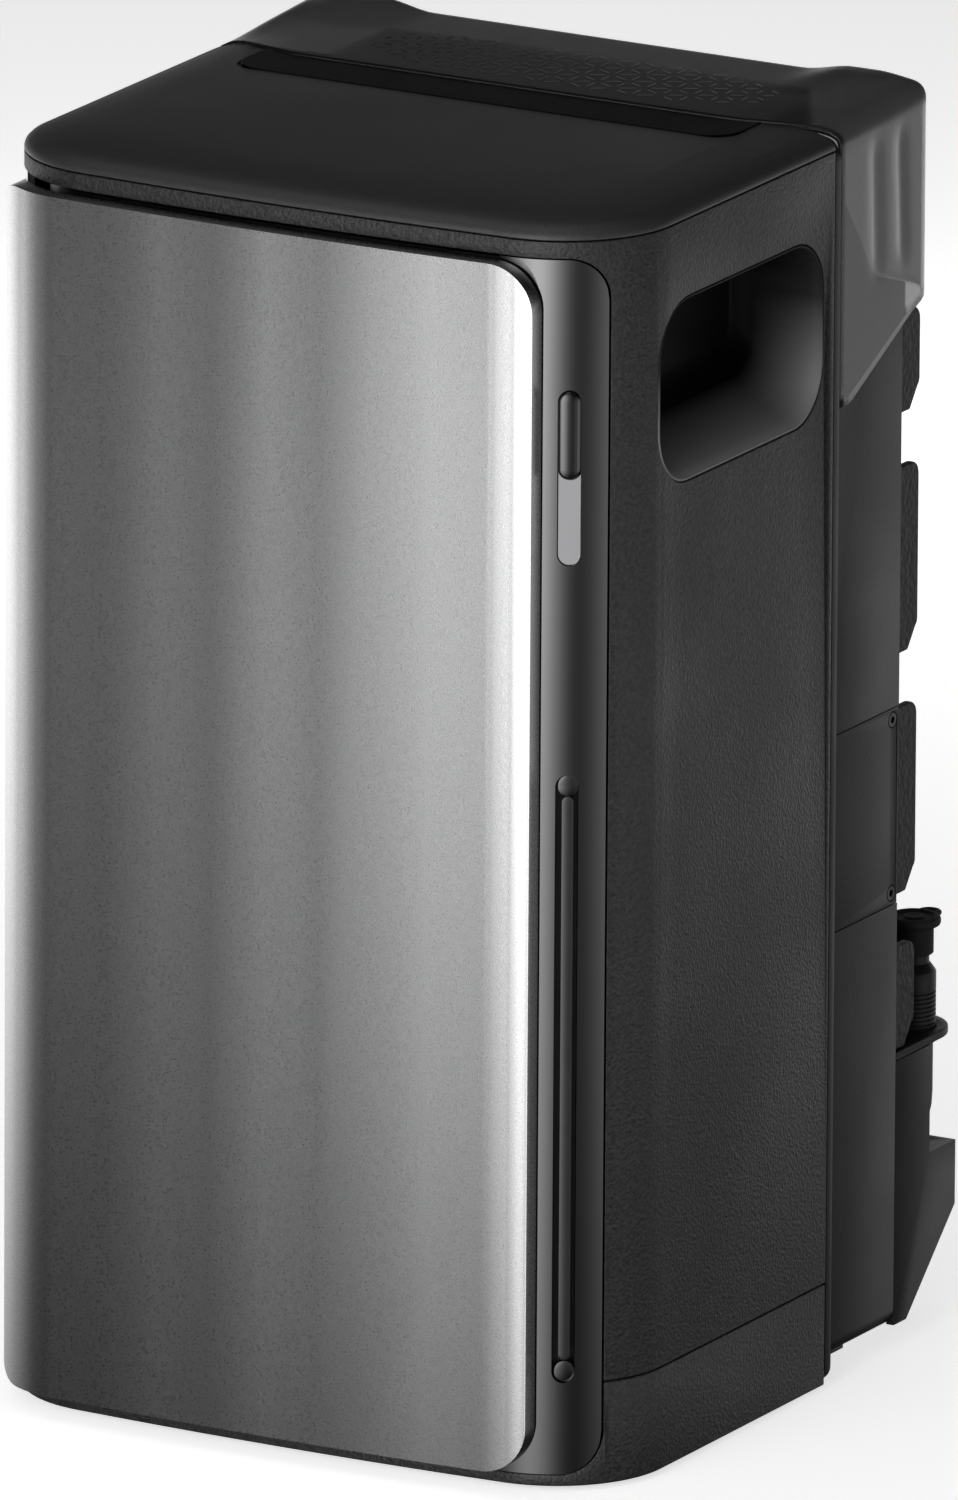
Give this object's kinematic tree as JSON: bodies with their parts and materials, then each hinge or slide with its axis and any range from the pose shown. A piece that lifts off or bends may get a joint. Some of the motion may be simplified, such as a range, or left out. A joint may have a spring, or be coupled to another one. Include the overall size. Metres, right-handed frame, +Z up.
{
  "type": "home battery power unit",
  "caption": "Upright free-standing home battery with bowed aluminium front, gloss control strip, side hand recesses, finned rear, rain hood and solar connectors.",
  "frame": {"origin": "bottom centre of the whole unit, on the surface its rubber feet stand on", "axes": "+Z up; the aluminium front faces -Y; +X is to the right seen from the front"},
  "size_m": [0.25, 0.277, 0.459],
  "materials": {
    "case_plastic": "fine leather-grained dark grey moulding",
    "lid_plastic": "satin fine-grained dark grey moulding",
    "front_aluminium": "bead-blasted clear-anodised sheet",
    "piano_black": "high-gloss black",
    "tag_silver": "satin silver",
    "light_diffuser": "smoked diffuser",
    "cast_black": "matt black powder-coated casting",
    "fin_black": "textured black coating",
    "smoke_hood": "smoked translucent moulding",
    "bracket_black": "smooth black moulding",
    "connector_black": "black connector moulding",
    "cap_rubber": "soft black rubber",
    "outlet_black": "satin black moulding",
    "foot_rubber": "black rubber",
    "screw_steel": "blackened steel",
    "steel": "zinc-plated steel",
    "cell_can": "film-wrapped cell can",
    "busbar_copper": "nickel-plated copper",
    "circuit_board": "solder-masked board",
    "component_black": "moulded component",
    "coil_wire": "enamelled copper",
    "pad_grey": "thermal pad"
  },
  "bodies": {
    "case": {"outer_shell": "case_plastic", "base_collar": "case_plastic", "front_carrier": "bracket_black", "base_plate": "bracket_black", "top_lid": "lid_plastic", "display_strip": "piano_black", "front_panel": "front_aluminium", "gloss_strip": "piano_black", "trim_tag": "tag_silver", "light_bar": "light_diffuser", "light_channel": "component_black", "light_bar_sockets": "piano_black", "button_switch": "component_black", "handle_cup_right": "bracket_black", "handle_cup_left": "bracket_black", "handle_grip_right": "cap_rubber", "handle_grip_left": "cap_rubber", "rear_flange": "cast_black", "housing_gasket": "foot_rubber", "rear_housing": "cast_black", "side_cover_left": "cast_black", "side_cover_right": "cast_black", "cover_screws": "screw_steel", "cooling_fins_top": "fin_black", "cooling_fins_upper": "fin_black", "cooling_fins_lower": "fin_black", "cooling_fins_bottom": "fin_black", "mains_outlet_left": "outlet_black", "mains_outlet_right": "outlet_black", "connector_shelf": "bracket_black", "cable_bracket": "bracket_black", "rubber_feet": "foot_rubber", "base_screws": "screw_steel", "battery_cells": "cell_can", "busbars": "busbar_copper", "cell_tray": "steel", "cell_clamp_plate": "component_black", "tray_legs": "component_black", "tie_rods": "steel", "battery_board": "circuit_board", "board_standoffs": "steel", "inverter_board": "circuit_board", "power_modules": "component_black", "thermal_pads": "pad_grey", "capacitors": "component_black", "inductors": "coil_wire", "display_board": "circuit_board", "radio_board": "circuit_board", "light_board": "circuit_board", "solar_connector_1": "connector_black", "solar_connector_2": "connector_black", "solar_connector_3": "connector_black", "solar_connector_4": "connector_black"},
    "button": {"power_button": "piano_black"},
    "hood": {"rain_hood": "smoke_hood"},
    "cap_1": {"dust_cap_1": "cap_rubber"},
    "cap_2": {"dust_cap_2": "cap_rubber"},
    "cap_3": {"dust_cap_3": "cap_rubber"},
    "cap_4": {"dust_cap_4": "cap_rubber"}
  },
  "joints": [
    {"name": "button_press", "type": "slide", "parent": "case", "child": "button", "axis": [-0.5446, 0.8387, 0], "range_m": [0, 0.0015], "stiffness_N_per_m": 1500},
    {"name": "hood_lift", "type": "slide", "parent": "case", "child": "hood", "axis": [0, 0, 1], "range_m": [0, 0.11]},
    {"name": "cap_1_pull", "type": "slide", "parent": "case", "child": "cap_1", "axis": [0, 0, 1], "range_m": [0, 0.03]},
    {"name": "cap_2_pull", "type": "slide", "parent": "case", "child": "cap_2", "axis": [0, 0, 1], "range_m": [0, 0.03]},
    {"name": "cap_3_pull", "type": "slide", "parent": "case", "child": "cap_3", "axis": [0, 0, 1], "range_m": [0, 0.03]},
    {"name": "cap_4_pull", "type": "slide", "parent": "case", "child": "cap_4", "axis": [0, 0, 1], "range_m": [0, 0.03]}
  ]
}
